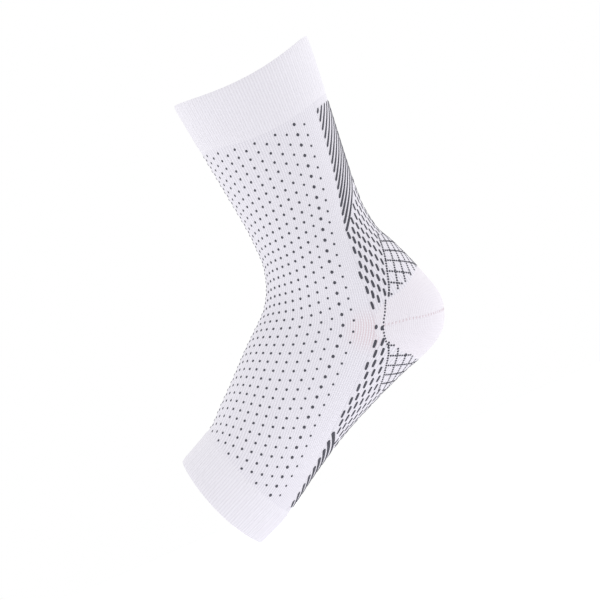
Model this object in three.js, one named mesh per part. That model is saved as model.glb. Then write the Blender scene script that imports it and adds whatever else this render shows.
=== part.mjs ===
// A knitted ankle compression sock with a closed heel and an open toe, in the form it has when worn.
// Millimetres. The origin is the centre of the ankle on the leg axis, +Z runs up the leg, the toes
// point to -X and the two sides of the foot lie at +Y and -Y.
// The whole sock is one surface. A section of it is an egg-shaped ring through a point of the front
// outline and a point of the back outline, and the rings fan round the bend of the ankle.
import * as THREE from 'three';

// Heights above the ankle
const LEG_HEIGHT = 170;
const CUFF_HEIGHT = 35.2;
const BEND_HEIGHT = 63;

// Depths from front to back and widths from side to side
const CALF_DEPTH = 93.2;
const CALF_WIDTH = 82;
const ANKLE_DEPTH = 71.7;
const ANKLE_WIDTH = 63;
const HEEL_REACH = 57.3;
const HEEL_WIDTH = 68;
const TOE_DEPTH = 72;
const TOE_WIDTH = 75;

// The foot runs forward and down from the ankle
const FOOT_BODY_LENGTH = 112;
const TOE_BAND_LENGTH = 25.5;
const FOOT_PITCH_DEGREES = 29.9;

// The rims: the sides of the cuff dip below its front and back, the sides of the toe band bulge out
const CUFF_DIP = 8;
const TOE_EDGE_BULGE = 2.5;
const TOE_RIM_BULGE = 3;

// Cloth
const BODY_WALL = 1.5;
const CUFF_WALL = 2.2;
const CUFF_PROUD = 0.2;
const BAND_WALL = 2.4;
const BAND_PROUD = 0.7;
const PIECE_GAP = 0.35;

// How finely the walls are divided
const FRONT_STEPS = 28;
const BACK_STEPS = 16;
const LEG_STEPS = 20;
const FOOT_STEPS = 14;
const HEEL_STEPS = 10;
const CUFF_STEPS = 4;
const BAND_STEPS = 4;

// Leg sections. lift: share of the way from the ankle bend up to the cuff. flare: share of the way
// from the ankle's size to the calf's. slope: rise from front to back as a share of the depth.
// edge: degrees round the section, from its front, at which the panel behind it starts.
const rimSection = { flare: 1.0, slope: 0.071, edge: 140 };
const legSections = [
  { lift: 1.0, flare: 0.64, slope: 0.028, edge: 140 },
  { lift: 0.52, flare: 0.26, slope: 0.03, edge: 137 },
  { lift: 0.22, flare: 0.05, slope: 0.0, edge: 131.5 },
  { lift: 0.0, flare: 0.0, slope: -0.03, edge: 123.8 },
];

// Sections round the ankle bend. forward: front point before the axis, as a share of the ankle depth.
// rise: its height as a share of the bend's height. reach and height: the back point, as shares of the
// heel's reach. broad: share of the way from the ankle's width to the heel's. egg: how far the widest
// place lies towards the heel.
const bendSections = [
  { forward: 0.502, rise: 0.881, reach: 0.667, height: 0.82, broad: 0.1, egg: 0.05, edge: 116 },
  { forward: 0.522, rise: 0.77, reach: 0.757, height: 0.625, broad: 0.4, egg: 0.1, edge: 109 },
  { forward: 0.548, rise: 0.675, reach: 0.873, height: 0.323, broad: 0.8, egg: 0.16, edge: 102.5 },
  { forward: 0.583, rise: 0.587, reach: 0.98, height: -0.02, broad: 1.0, egg: 0.2, edge: 98.5 },
  { forward: 0.622, rise: 0.516, reach: 0.977, height: -0.244, broad: 1.0, egg: 0.2, edge: 99 },
  { forward: 0.669, rise: 0.444, reach: 0.86, height: -0.471, broad: 0.95, egg: 0.18, edge: 103.8 },
  { forward: 0.753, rise: 0.359, reach: 0.628, height: -0.614, broad: 0.95, egg: 0.14, edge: 110 },
];

// Foot sections, measured along the foot's own axis. topAlong and soleAlong: shares of the length up to
// the toe band. topRise and soleDrop: shares of the toe depth. broad: share of the way from the heel's
// width to the toe's.
const footSections = [
  { topAlong: 0.397, topRise: 0.625, soleAlong: 0.061, soleDrop: 0.611, broad: 0.05, egg: 0.1, edge: 118.9 },
  { topAlong: 0.502, topRise: 0.593, soleAlong: 0.271, soleDrop: 0.561, broad: 0.2, egg: 0.06, edge: 129 },
  { topAlong: 0.642, topRise: 0.542, soleAlong: 0.521, soleDrop: 0.519, broad: 0.5, egg: 0.03, edge: 141 },
  { topAlong: 0.797, topRise: 0.492, soleAlong: 0.788, soleDrop: 0.514, broad: 0.8, egg: 0.0, edge: 154 },
  { topAlong: 0.949, topRise: 0.447, soleAlong: 1.051, soleDrop: 0.525, broad: 1.0, egg: 0.0, edge: 158 },
];
const toeRimSection = { topRise: 0.468, soleDrop: 0.48 };

// Rows of the section list at which the pieces end
const CUFF_ROW = 1;
const BEND_ROW = CUFF_ROW + legSections.length;
const TOE_ROW = BEND_ROW + bendSections.length + footSections.length - 1;
const RIM_ROW = TOE_ROW + 1;

// The heel cup: its two edges start together at a pivot on each side and end apart at the back
const HEEL_PIVOT_ROW = BEND_ROW + 5.2;
const HEEL_TOP_ROW = BEND_ROW + 2.15;
const HEEL_SOLE_ROW = BEND_ROW + 6.4;

const mix = THREE.MathUtils.lerp;
const radians = THREE.MathUtils.degToRad;

// A section is kept as its two outline points (x and z), its half width, its egg share and the angle
// of the panel edge
function section(front, back, halfWidth, egg, edge) {
  return { front, back, halfWidth, egg, edge: radians(edge) };
}

function legSection(row, height) {
  const halfDepth = mix(ANKLE_DEPTH, CALF_DEPTH, row.flare) / 2;
  const halfWidth = mix(ANKLE_WIDTH, CALF_WIDTH, row.flare) / 2;
  const tilt = row.slope * halfDepth;
  return section([-halfDepth, height - tilt], [halfDepth, height + tilt], halfWidth, 0, row.edge);
}

function bendSection(row) {
  const front = [-row.forward * ANKLE_DEPTH, row.rise * BEND_HEIGHT];
  const back = [row.reach * HEEL_REACH, row.height * HEEL_REACH];
  return section(front, back, mix(ANKLE_WIDTH, HEEL_WIDTH, row.broad) / 2, row.egg, row.edge);
}

// A point given along the foot's axis and above it
function footPoint(along, above) {
  const pitch = radians(FOOT_PITCH_DEGREES);
  return [
    -along * Math.cos(pitch) - above * Math.sin(pitch),
    -along * Math.sin(pitch) + above * Math.cos(pitch),
  ];
}

function footSection(row, bandLength) {
  const front = footPoint(row.topAlong * FOOT_BODY_LENGTH + bandLength, row.topRise * TOE_DEPTH);
  const back = footPoint(row.soleAlong * FOOT_BODY_LENGTH + bandLength, -row.soleDrop * TOE_DEPTH);
  return section(front, back, mix(HEEL_WIDTH, TOE_WIDTH, row.broad) / 2, row.egg, row.edge);
}

function allSections() {
  const cuffBottom = LEG_HEIGHT - CUFF_HEIGHT;
  const lastFoot = footSections[footSections.length - 1];
  return [
    legSection(rimSection, LEG_HEIGHT),
    ...legSections.map((row) => legSection(row, mix(BEND_HEIGHT, cuffBottom, row.lift))),
    ...bendSections.map(bendSection),
    ...footSections.map((row) => footSection(row, 0)),
    footSection({ ...lastFoot, ...toeRimSection }, TOE_BAND_LENGTH),
  ];
}

// Smooth curves through the outline points and through the widths of the sections
const sections = allSections();

function curveThrough(pick) {
  const points = sections.map((one) => new THREE.Vector3(...pick(one)));
  return new THREE.CatmullRomCurve3(points, false, 'catmullrom', 0.5);
}

const frontCurve = curveThrough((one) => [one.front[0], 0, one.front[1]]);
const backCurve = curveThrough((one) => [one.back[0], 0, one.back[1]]);
const widthCurve = curveThrough((one) => [one.halfWidth, one.egg, one.edge]);

// A point of the outer surface at a row of the section list and an angle round it from the front.
// A row past either end carries on in a straight line.
function surfacePoint(row, angle) {
  const last = sections.length - 1;
  const inside = THREE.MathUtils.clamp(row, 0, last);
  const beyond = row - inside;
  const front = pointOn(frontCurve, inside, beyond);
  const back = pointOn(backCurve, inside, beyond);
  const { x: halfWidth, y: egg } = widthCurve.getPoint(inside / last);
  const middle = front.clone().add(back).multiplyScalar(0.5);
  const toFront = front.clone().sub(back).multiplyScalar(0.5 * Math.cos(angle));
  const across = -halfWidth * Math.sin(angle - egg * Math.sin(angle));
  return middle.add(toFront).add(new THREE.Vector3(0, across, 0));
}

function pointOn(curve, inside, beyond) {
  const last = sections.length - 1;
  const point = curve.getPoint(inside / last);
  if (beyond === 0) return point;
  const end = Math.round(inside);
  const inner = end === 0 ? 1 : last - 1;
  const step = curve.points[end].clone().sub(curve.points[inner]);
  return point.addScaledVector(step, Math.abs(beyond));
}

// The direction straight out of the cloth
function surfaceNormal(row, angle) {
  const reach = 0.02;
  const along = surfacePoint(row + reach, angle).sub(surfacePoint(row - reach, angle));
  const round = surfacePoint(row, angle + reach).sub(surfacePoint(row, angle - reach));
  return along.cross(round).normalize();
}

// How many rows a length along the cloth takes at a place
function rowsFor(length, row, angle) {
  const reach = 0.05;
  const span = surfacePoint(row + reach, angle).distanceTo(surfacePoint(row - reach, angle));
  return (length * 2 * reach) / span;
}

// What angle a length round the section takes at a place
function angleFor(length, row, angle) {
  const reach = 0.05;
  const span = surfacePoint(row, angle + reach).distanceTo(surfacePoint(row, angle - reach));
  return (length * 2 * reach) / span;
}

// The edges between the pieces, as rows that depend on the angle
function cuffRimRow(angle) {
  return (CUFF_DIP / CUFF_HEIGHT) * Math.sin(angle) ** 2;
}

function cuffEdgeRow(angle) {
  const legLength = (LEG_HEIGHT - CUFF_HEIGHT - BEND_HEIGHT) * (1 - legSections[1].lift);
  return CUFF_ROW + (CUFF_DIP / legLength) * Math.sin(angle) ** 2;
}

function toeEdgeRow(angle) {
  return TOE_ROW + (TOE_EDGE_BULGE / TOE_BAND_LENGTH) * Math.sin(angle) ** 2;
}

function toeRimRow(angle) {
  return RIM_ROW + (TOE_RIM_BULGE / TOE_BAND_LENGTH) * Math.sin(angle) ** 2;
}

// The body between the cuff and the toe band. down: 0 at the cuff's edge and 1 at the toe band's.
function bodyRow(down, angle) {
  return mix(cuffEdgeRow(angle), toeEdgeRow(angle), down);
}

function downOfRow(row) {
  return (row - CUFF_ROW) / (TOE_ROW - CUFF_ROW);
}

// The angle at which the panels behind the leg and under the foot start
function edgeAngle(down) {
  const row = mix(CUFF_ROW, TOE_ROW, down);
  return widthCurve.getPoint(row / (sections.length - 1)).z;
}

// The heel cup's edges curve like an ellipse from the pivot at each side to the back. turn: 0 at the
// back and a quarter turn at the pivot.
function heelEdgeDown(backRow, turn) {
  return mix(downOfRow(backRow), downOfRow(HEEL_PIVOT_ROW), 1 - Math.cos(turn));
}

// A closed sheet of cloth. place(i, j) gives the row and angle at grid place i across and j along,
// both running from 0 to 1. The sheet is a box whose six faces are bent to the surface, and a sheet
// that goes the whole way round is a ring turned from a closed profile.
function clothPanel(name, place, acrossSteps, alongSteps, wall, proud, material) {
  const box = new THREE.BoxGeometry(1, 1, 1, acrossSteps, alongSteps, 1);
  return clothMesh(name, box, place, wall, proud, material, (point) => [point.x + 0.5, 0.5 - point.y, point.z > 0]);
}

function clothRing(name, place, roundSteps, alongSteps, wall, proud, material) {
  const profile = [];
  for (let step = alongSteps; step >= 0; step -= 1) profile.push(new THREE.Vector2(2, step / alongSteps));
  for (let step = 0; step <= alongSteps; step += 1) profile.push(new THREE.Vector2(1, step / alongSteps));
  profile.push(profile[0].clone());
  const ring = new THREE.LatheGeometry(profile, roundSteps);
  return clothMesh(name, ring, place, wall, proud, material, (point) => {
    const turn = Math.atan2(point.x, point.z) / (2 * Math.PI);
    return [turn < 0 ? turn + 1 : turn, point.y, Math.hypot(point.x, point.z) > 1.5];
  });
}

function clothMesh(name, geometry, place, wall, proud, material, read) {
  const positions = geometry.getAttribute('position');
  const point = new THREE.Vector3();
  for (let index = 0; index < positions.count; index += 1) {
    const [across, down, outside] = read(point.fromBufferAttribute(positions, index));
    const { row, angle } = place(across, down);
    const lift = outside ? proud : proud - wall;
    const bent = surfacePoint(row, angle).addScaledVector(surfaceNormal(row, angle), lift);
    positions.setXYZ(index, bent.x, bent.y, bent.z);
  }
  geometry.computeVertexNormals();
  const mesh = new THREE.Mesh(geometry, material);
  mesh.name = name;
  return mesh;
}

function knit(colour, roughness) {
  return new THREE.MeshStandardMaterial({ color: colour, roughness, metalness: 0 });
}

const plainKnit = knit(0xf1f0f4, 0.85);
const ribKnit = knit(0xf6f5f8, 0.8);
const dottedKnit = knit(0xe6e5ea, 0.85);
const barredKnit = knit(0xa9a8b0, 0.85);

function topCuff() {
  const place = (round, down) => {
    const angle = round * 2 * Math.PI;
    const edge = cuffEdgeRow(angle);
    const bottom = edge - rowsFor(PIECE_GAP, edge, angle);
    return { row: mix(cuffRimRow(angle), bottom, down), angle };
  };
  return clothRing('top_cuff', place, FRONT_STEPS + BACK_STEPS, CUFF_STEPS, CUFF_WALL, CUFF_PROUD, ribKnit);
}

function toeBand() {
  const place = (round, down) => {
    const angle = round * 2 * Math.PI;
    const edge = toeEdgeRow(angle);
    const top = edge + rowsFor(PIECE_GAP, edge, angle);
    return { row: mix(top, toeRimRow(angle), down), angle };
  };
  return clothRing('toe_band', place, FRONT_STEPS + BACK_STEPS, BAND_STEPS, BAND_WALL, BAND_PROUD, ribKnit);
}

// The front and sides, from one panel edge round the front to the other
function instepPanel() {
  const pivotDown = downOfRow(HEEL_PIVOT_ROW);
  const steps = LEG_STEPS + FOOT_STEPS;
  const place = (across, step) => {
    const done = step * steps;
    const onLeg = done <= LEG_STEPS;
    const down = onLeg ? (pivotDown * done) / LEG_STEPS : mix(pivotDown, 1, (done - LEG_STEPS) / FOOT_STEPS);
    const angle = (2 * across - 1) * edgeAngle(down);
    return { row: bodyRow(down, angle), angle };
  };
  return clothPanel('instep_panel', place, FRONT_STEPS, steps, BODY_WALL, 0, dottedKnit);
}

// A place of the panels round the back. turn: 0 at the back and a quarter turn at their side edge.
// down: how far down the body the place is. clear: the gap that it keeps at the side.
function backPlace(turn, down, clear) {
  const side = Math.sin(turn);
  const angle = Math.PI + side * (Math.PI - edgeAngle(down));
  const row = bodyRow(down, angle);
  return { row, angle: angle - side * angleFor(clear, row, angle) };
}

const QUARTER = Math.PI / 2;

// The panel behind the leg ends at the heel cup's upper edge
function achillesPanel() {
  const place = (across, step) => {
    const turn = mix(-QUARTER, QUARTER, across);
    const { row, angle } = backPlace(turn, step * heelEdgeDown(HEEL_TOP_ROW, turn), PIECE_GAP);
    return { row: row - step * rowsFor(PIECE_GAP, row, angle), angle };
  };
  return clothPanel('achilles_panel', place, BACK_STEPS, LEG_STEPS, BODY_WALL, 0, barredKnit);
}

// The panel under the foot starts at the heel cup's lower edge
function solePanel() {
  const place = (across, step) => {
    const turn = mix(-QUARTER, QUARTER, across);
    const down = mix(heelEdgeDown(HEEL_SOLE_ROW, turn), 1, step);
    const { row, angle } = backPlace(turn, down, PIECE_GAP);
    return { row: row + (1 - step) * rowsFor(PIECE_GAP, row, angle), angle };
  };
  return clothPanel('sole_panel', place, BACK_STEPS, FOOT_STEPS, BODY_WALL, 0, barredKnit);
}

// The heel cup stops one step short of each pivot, where its two edges would meet. It lies inside the
// two panels that end there, so it keeps its own gap and theirs.
function heelCup() {
  const widestTurn = QUARTER * (1 - 2 / BACK_STEPS);
  const place = (across, step) => {
    const turn = mix(-widestTurn, widestTurn, across);
    const down = mix(heelEdgeDown(HEEL_TOP_ROW, turn), heelEdgeDown(HEEL_SOLE_ROW, turn), step);
    return backPlace(turn, down, 2 * PIECE_GAP);
  };
  return clothPanel('heel_cup', place, BACK_STEPS - 2, HEEL_STEPS, BODY_WALL, 0, plainKnit);
}

const sock = new THREE.Group();
sock.name = 'sock';
sock.add(topCuff(), instepPanel(), achillesPanel(), heelCup(), solePanel(), toeBand());

export default sock;
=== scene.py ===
"""Looks of a knitted ankle compression sock with an open toe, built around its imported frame.

The sock is one surface: rings through paired points of the front and back outline. Each knitted zone
is a sheet bent to that surface, and the dark yarn lies on it as dots, dashes, bars and a net.
Lengths are in millimetres in the sock's own form, and in metres in every mesh.
"""

import logging
import math
from dataclasses import dataclass, field
from enum import Enum
from typing import Callable

import bmesh
import bpy
import numpy as np
from mathutils import Matrix, Vector


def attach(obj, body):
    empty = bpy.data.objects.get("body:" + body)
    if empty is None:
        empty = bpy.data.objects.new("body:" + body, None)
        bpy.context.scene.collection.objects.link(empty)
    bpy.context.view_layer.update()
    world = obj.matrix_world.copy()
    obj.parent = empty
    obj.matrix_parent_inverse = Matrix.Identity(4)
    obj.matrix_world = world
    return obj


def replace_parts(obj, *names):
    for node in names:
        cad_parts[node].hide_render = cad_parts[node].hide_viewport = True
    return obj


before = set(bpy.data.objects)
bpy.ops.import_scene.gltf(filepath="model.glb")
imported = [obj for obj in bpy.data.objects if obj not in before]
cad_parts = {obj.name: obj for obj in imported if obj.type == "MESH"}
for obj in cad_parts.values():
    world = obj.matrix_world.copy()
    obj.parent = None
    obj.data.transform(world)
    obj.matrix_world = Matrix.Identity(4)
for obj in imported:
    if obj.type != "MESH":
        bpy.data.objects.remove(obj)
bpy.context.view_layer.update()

LOG = logging.getLogger("sock")
MM = 0.001
BODY = "root"


class Side(Enum):
    """The two sides of the foot, as the sign of the angle round the sock from its front."""

    NEAR = 1.0
    FAR = -1.0


def mix(low: float | np.ndarray, high: float | np.ndarray, share: float | np.ndarray) -> float | np.ndarray:
    """The value at a share of the way from low to high."""
    return low + (high - low) * share


def linear_colour(hex_code: str) -> tuple[float, float, float, float]:
    """Turns an sRGB hex colour to linear.

    Args:
        hex_code: six hex digits, such as "f2f0f5".

    Returns:
        The linear red, green and blue, and an alpha of 1.
    """
    parts = [int(hex_code[start:start + 2], 16) / 255 for start in (0, 2, 4)]
    red, green, blue = (
        part / 12.92 if part <= 0.04045 else ((part + 0.055) / 1.055) ** 2.4 for part in parts
    )
    return red, green, blue, 1.0


@dataclass(frozen=True)
class LegSection:
    """A ring of the leg.

    lift is the share of the way from the ankle bend up to the cuff, flare the share of the way from the
    ankle's size to the calf's, slope the rise from front to back as a share of the depth, and edge the
    degrees round the ring at which the panel behind it starts.
    """

    lift: float
    flare: float
    slope: float
    edge: float


@dataclass(frozen=True)
class BendSection:
    """A ring round the ankle bend.

    forward and rise place the front point as shares of the ankle depth and the bend's height, reach and
    height place the back point as shares of the heel's reach, broad is the share of the way from the
    ankle's width to the heel's, and egg says how far the widest place lies towards the heel.
    """

    forward: float
    rise: float
    reach: float
    height: float
    broad: float
    egg: float
    edge: float


@dataclass(frozen=True)
class FootSection:
    """A ring of the foot, measured along the foot's own axis in shares of its length and depth."""

    top_along: float
    top_rise: float
    sole_along: float
    sole_drop: float
    broad: float
    egg: float
    edge: float


@dataclass
class SockForm:
    """The surface that every zone of the sock is bent to, in millimetres."""

    leg_height: float = 170.0
    cuff_height: float = 35.2
    bend_height: float = 63.0
    calf_depth: float = 93.2
    calf_width: float = 82.0
    ankle_depth: float = 71.7
    ankle_width: float = 63.0
    heel_reach: float = 57.3
    heel_width: float = 68.0
    toe_depth: float = 72.0
    toe_width: float = 75.0
    foot_body_length: float = 112.0
    toe_band_length: float = 25.5
    foot_pitch_degrees: float = 29.9
    cuff_dip: float = 8.0
    toe_edge_bulge: float = 2.5
    toe_rim_bulge: float = 3.0
    rim: LegSection = LegSection(0.0, 1.0, 0.071, 140.0)
    leg: tuple[LegSection, ...] = (
        LegSection(1.0, 0.64, 0.028, 140.0),
        LegSection(0.52, 0.26, 0.03, 137.0),
        LegSection(0.22, 0.05, 0.0, 131.5),
        LegSection(0.0, 0.0, -0.03, 123.8),
    )
    bend: tuple[BendSection, ...] = (
        BendSection(0.502, 0.881, 0.667, 0.82, 0.1, 0.05, 116.0),
        BendSection(0.522, 0.77, 0.757, 0.625, 0.4, 0.1, 109.0),
        BendSection(0.548, 0.675, 0.873, 0.323, 0.8, 0.16, 102.5),
        BendSection(0.583, 0.587, 0.98, -0.02, 1.0, 0.2, 98.5),
        BendSection(0.622, 0.516, 0.977, -0.244, 1.0, 0.2, 99.0),
        BendSection(0.669, 0.444, 0.86, -0.471, 0.95, 0.18, 103.8),
        BendSection(0.753, 0.359, 0.628, -0.614, 0.95, 0.14, 110.0),
    )
    foot: tuple[FootSection, ...] = (
        FootSection(0.397, 0.625, 0.061, 0.611, 0.05, 0.1, 118.9),
        FootSection(0.502, 0.593, 0.271, 0.561, 0.2, 0.06, 129.0),
        FootSection(0.642, 0.542, 0.521, 0.519, 0.5, 0.03, 141.0),
        FootSection(0.797, 0.492, 0.788, 0.514, 0.8, 0.0, 154.0),
        FootSection(0.949, 0.447, 1.051, 0.525, 1.0, 0.0, 158.0),
    )
    toe_rim_rise: float = 0.468
    toe_rim_drop: float = 0.48
    rings: np.ndarray = field(init=False)

    def __post_init__(self) -> None:
        """Works out the table of rings: front x and z, back x and z, half width, egg and edge angle."""
        cuff_bottom = self.leg_height - self.cuff_height
        rings = [self._leg_ring(self.rim, self.leg_height)]
        rings += [self._leg_ring(one, mix(self.bend_height, cuff_bottom, one.lift)) for one in self.leg]
        rings += [self._bend_ring(one) for one in self.bend]
        rings += [self._foot_ring(one, one.top_rise, one.sole_drop, 0.0) for one in self.foot]
        last = self.foot[-1]
        rings.append(self._foot_ring(last, self.toe_rim_rise, self.toe_rim_drop, self.toe_band_length))
        self.rings = np.array(rings)

    @property
    def cuff_row(self) -> int:
        """The ring at which the cuff ends."""
        return 1

    @property
    def bend_row(self) -> int:
        """The first ring of the ankle bend."""
        return self.cuff_row + len(self.leg)

    @property
    def rim_row(self) -> int:
        """The last ring, at the toe rim."""
        return len(self.rings) - 1

    @property
    def toe_row(self) -> int:
        """The ring at which the toe band starts."""
        return self.rim_row - 1

    @property
    def pivot_row(self) -> float:
        """Where the heel cup's two edges meet at each side."""
        return self.bend_row + 5.2

    @property
    def heel_top_row(self) -> float:
        """Where the heel cup starts at the back."""
        return self.bend_row + 2.15

    @property
    def heel_sole_row(self) -> float:
        """Where the heel cup ends under the foot."""
        return self.bend_row + 6.4

    def _leg_ring(self, one: LegSection, height: float) -> list[float]:
        """A ring of the leg at a height above the ankle."""
        half_depth = mix(self.ankle_depth, self.calf_depth, one.flare) / 2
        half_width = mix(self.ankle_width, self.calf_width, one.flare) / 2
        tilt = one.slope * half_depth
        edge = math.radians(one.edge)
        return [-half_depth, height - tilt, half_depth, height + tilt, half_width, 0.0, edge]

    def _bend_ring(self, one: BendSection) -> list[float]:
        """A ring round the bend of the ankle."""
        half_width = mix(self.ankle_width, self.heel_width, one.broad) / 2
        front = [-one.forward * self.ankle_depth, one.rise * self.bend_height]
        back = [one.reach * self.heel_reach, one.height * self.heel_reach]
        return [*front, *back, half_width, one.egg, math.radians(one.edge)]

    def _foot_ring(self, one: FootSection, rise: float, drop: float, band: float) -> list[float]:
        """A ring of the foot, moved along the foot's axis by a length of band."""
        front = self._foot_point(one.top_along * self.foot_body_length + band, rise * self.toe_depth)
        back = self._foot_point(one.sole_along * self.foot_body_length + band, -drop * self.toe_depth)
        half_width = mix(self.heel_width, self.toe_width, one.broad) / 2
        return [*front, *back, half_width, one.egg, math.radians(one.edge)]

    def _foot_point(self, along: float, above: float) -> list[float]:
        """The x and z of a point given along the foot's axis and above it."""
        pitch = math.radians(self.foot_pitch_degrees)
        cos_pitch, sin_pitch = math.cos(pitch), math.sin(pitch)
        return [-along * cos_pitch - above * sin_pitch, -along * sin_pitch + above * cos_pitch]

    def ring_at(self, row: np.ndarray) -> np.ndarray:
        """The ring values at rows of any fraction, on smooth curves through the table.

        Args:
            row: rows, which past either end carry on in a straight line.

        Returns:
            An array with the seven ring values on its last axis.
        """
        row = np.asarray(row, float)
        inside = np.clip(row, 0, self.rim_row)
        first = np.minimum(np.floor(inside).astype(int), self.rim_row - 1)
        share = (inside - first)[..., None]
        above_rim = 2 * self.rings[0] - self.rings[1]
        past_toe = 2 * self.rings[-1] - self.rings[-2]
        table = np.vstack([above_rim, self.rings, past_toe])
        before, low, high, after = (table[first + offset] for offset in range(4))
        low_slope, high_slope = (high - before) / 2, (after - low) / 2
        value = low + low_slope * share
        value += (3 * high - 3 * low - 2 * low_slope - high_slope) * share**2
        value += (2 * low - 2 * high + low_slope + high_slope) * share**3
        at_cuff, at_toe = self.rings[0] - self.rings[1], self.rings[-1] - self.rings[-2]
        outwards = np.where((row < 0)[..., None], at_cuff, at_toe)
        outwards = outwards * np.array([1, 1, 1, 1, 0, 0, 0])
        return value + outwards * np.abs(row - inside)[..., None]

    def point(self, row: np.ndarray, angle: np.ndarray) -> np.ndarray:
        """Points of the outer surface, in millimetres.

        Args:
            row: rows of the ring table.
            angle: angles round the ring from its front, positive on the near side.

        Returns:
            An array of points.
        """
        ring = self.ring_at(row)
        front, back = ring[..., 0:2], ring[..., 2:4]
        middle, reach = (front + back) / 2, (front - back) / 2
        place = middle + reach * np.cos(angle)[..., None]
        across = -ring[..., 4] * np.sin(angle - ring[..., 5] * np.sin(angle))
        return np.stack([place[..., 0], across, place[..., 1]], axis=-1)

    def frame_at(self, row: np.ndarray, angle: np.ndarray) -> tuple[np.ndarray, ...]:
        """How the surface lies at places.

        Args:
            row: rows of the ring table.
            angle: angles round the ring.

        Returns:
            Millimetres to a row, millimetres to a radian, the cosine between both directions, and
            outward unit vectors.
        """
        step = 0.01
        along = (self.point(row + step, angle) - self.point(row - step, angle)) / (2 * step)
        around = (self.point(row, angle + step) - self.point(row, angle - step)) / (2 * step)
        out = np.cross(along, around)
        out /= np.linalg.norm(out, axis=-1, keepdims=True)
        row_mm, radian_mm = np.linalg.norm(along, axis=-1), np.linalg.norm(around, axis=-1)
        cosine = (along * around).sum(axis=-1) / (row_mm * radian_mm)
        return row_mm, radian_mm, cosine, out

    def moved(self, row: np.ndarray, angle: np.ndarray, along: np.ndarray,
              across: np.ndarray) -> tuple[np.ndarray, np.ndarray]:
        """The rows and angles of places at distances from others.

        Args:
            row: rows of the first places.
            angle: their angles.
            along: millimetres from them along the wale.
            across: millimetres square to the wale, positive towards greater angles.

        Returns:
            The rows and the angles.
        """
        row_mm, radian_mm, cosine, _ = self.frame_at(row, angle)
        sine = np.sqrt(1 - cosine**2)
        return row + (along - across * cosine / sine) / row_mm, angle + across / sine / radian_mm

    def lifted(self, row: np.ndarray, angle: np.ndarray, height: np.ndarray) -> np.ndarray:
        """Points that stand a height out of the outer surface, in metres."""
        out = self.frame_at(row, angle)[3]
        return (self.point(row, angle) + out * np.asarray(height)[..., None]) * MM

    def edge_angle(self, row: np.ndarray) -> np.ndarray:
        """The angle at which the panels behind the leg and under the foot start."""
        return self.ring_at(row)[..., 6]

    def cuff_rim_row(self, angle: np.ndarray) -> np.ndarray:
        """The cuff's rim, whose sides dip."""
        return self.cuff_dip / self.cuff_height * np.sin(angle) ** 2

    def cuff_edge_row(self, angle: np.ndarray) -> np.ndarray:
        """The line at which the cuff ends, which dips as its rim does."""
        leg_length = (self.leg_height - self.cuff_height - self.bend_height) * (1 - self.leg[1].lift)
        return self.cuff_row + self.cuff_dip / leg_length * np.sin(angle) ** 2

    def toe_edge_row(self, angle: np.ndarray) -> np.ndarray:
        """The line at which the toe band starts, whose sides bulge forward."""
        return self.toe_row + self.toe_edge_bulge / self.toe_band_length * np.sin(angle) ** 2

    def toe_rim_row(self, angle: np.ndarray) -> np.ndarray:
        """The rim of the toe band, whose sides bulge forward."""
        return self.rim_row + self.toe_rim_bulge / self.toe_band_length * np.sin(angle) ** 2

    def down_of(self, row: float) -> float:
        """The share of the way down the body at which a ring of the table lies."""
        return (row - self.cuff_row) / (self.toe_row - self.cuff_row)

    def body_row(self, down: np.ndarray, angle: np.ndarray) -> np.ndarray:
        """The row at a share of the way from the cuff's edge to the toe band's."""
        return mix(self.cuff_edge_row(angle), self.toe_edge_row(angle), down)

    def body_edge(self, down: np.ndarray) -> np.ndarray:
        """The angle of the panel edge at a share of the way down the body."""
        return self.edge_angle(mix(self.cuff_row, self.toe_row, down))

    def heel_down(self, back_row: float, turn: np.ndarray) -> np.ndarray:
        """One edge of the heel cup, an elliptic curve from the pivot at each side to the back.

        Args:
            back_row: the row at which the edge crosses the middle of the back.
            turn: 0 at the back and a quarter turn at the pivot.

        Returns:
            The share of the way down the body.
        """
        return mix(self.down_of(back_row), self.down_of(self.pivot_row), 1 - np.cos(turn))

    def back_place(self, turn: np.ndarray, down: np.ndarray) -> tuple[np.ndarray, np.ndarray]:
        """A place of the panels round the back, as a row and an angle.

        Args:
            turn: 0 at the back and a quarter turn at the panel's side edge.
            down: the share of the way down the body.

        Returns:
            The row and the angle.
        """
        angle = math.pi + np.sin(turn) * (math.pi - self.body_edge(down))
        return self.body_row(down, angle), angle

    def path_lengths(self, rows: np.ndarray, angles: np.ndarray) -> np.ndarray:
        """The length along a line on the surface to each of its places.

        Args:
            rows: rows of the places.
            angles: their angles.

        Returns:
            Millimetres from the first place.
        """
        steps = np.diff(self.point(rows, angles), axis=0)
        return np.concatenate([[0.0], np.cumsum(np.linalg.norm(steps, axis=1))])

    def angle_past_edge(self, row: float, distance: float) -> float:
        """The angle at a distance round the ring from the panel edge towards the back.

        Args:
            row: the ring's row.
            distance: the distance from the edge, in millimetres.

        Returns:
            The angle in radians, or infinity past the middle of the back.
        """
        edge = float(self.edge_angle(np.array(row)))
        angles = np.linspace(edge, math.pi, 60)
        steps = np.diff(self.point(np.full_like(angles, row), angles), axis=0)
        lengths = np.concatenate([[0.0], np.cumsum(np.linalg.norm(steps, axis=1))])
        return float(np.interp(distance, lengths, angles, right=math.inf))


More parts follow.
